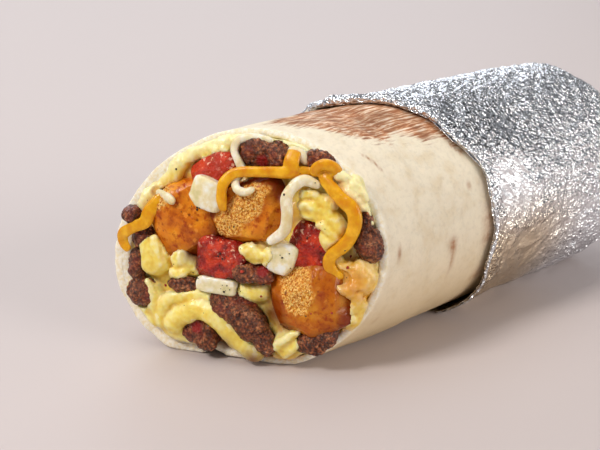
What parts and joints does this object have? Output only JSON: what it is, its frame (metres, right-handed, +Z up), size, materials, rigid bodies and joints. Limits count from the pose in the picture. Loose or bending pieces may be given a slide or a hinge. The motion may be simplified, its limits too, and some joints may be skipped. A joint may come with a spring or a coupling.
{
  "type": "breakfast burrito",
  "caption": "Breakfast burrito cut on a slant, with egg, potato, tomato, sausage, onion and cheese in the cut, its rear wrapped in foil.",
  "frame": {"origin": "middle of the lowest side of the whole part's box, on the surface that it rests on", "axes": "+X along the roll from its cut end to its foil end, +Z up, +Y to the side where the slanted cut reaches furthest forward"},
  "size_m": [0.1531, 0.0624, 0.0576],
  "materials": {
    "tortilla": "soft matt wheat tortilla, pale, with toasted brown patches",
    "foil": "bright crumpled kitchen foil",
    "egg": "moist scrambled egg, satin",
    "potato": "fried diced potato, glossy with oil and seasoned",
    "tomato": "wet diced tomato",
    "sausage": "fried minced sausage, rough with greasy highlights",
    "onion": "moist diced onion with pepper specks",
    "white_cheese": "half melted white cheese shreds",
    "cheddar": "half melted orange cheese shreds"
  },
  "bodies": {
    "root": {"tortilla_sheet": "tortilla", "foil_wrap": "foil", "scrambled_egg": "egg", "potato_left": "potato", "potato_middle": "potato", "potato_right": "potato", "tomato_upper": "tomato", "tomato_left": "tomato", "tomato_right": "tomato", "sausage_top": "sausage", "sausage_top_right": "sausage", "sausage_right": "sausage", "sausage_middle": "sausage", "sausage_left_bar": "sausage", "sausage_diagonal": "sausage", "sausage_lower_left": "sausage", "sausage_left_rim": "sausage", "sausage_left_crumb": "sausage", "sausage_left_flat": "sausage", "sausage_lower_right": "sausage", "onion_upper": "onion", "onion_middle": "onion", "onion_bar": "onion", "white_cheese_s_strand": "white_cheese", "white_cheese_hook_strand": "white_cheese", "white_cheese_top_strand": "white_cheese", "white_cheese_rim_strand": "white_cheese", "cheddar_arch_strand": "cheddar", "cheddar_long_strand": "cheddar", "cheddar_left_strand": "cheddar"}
  },
  "joints": []
}
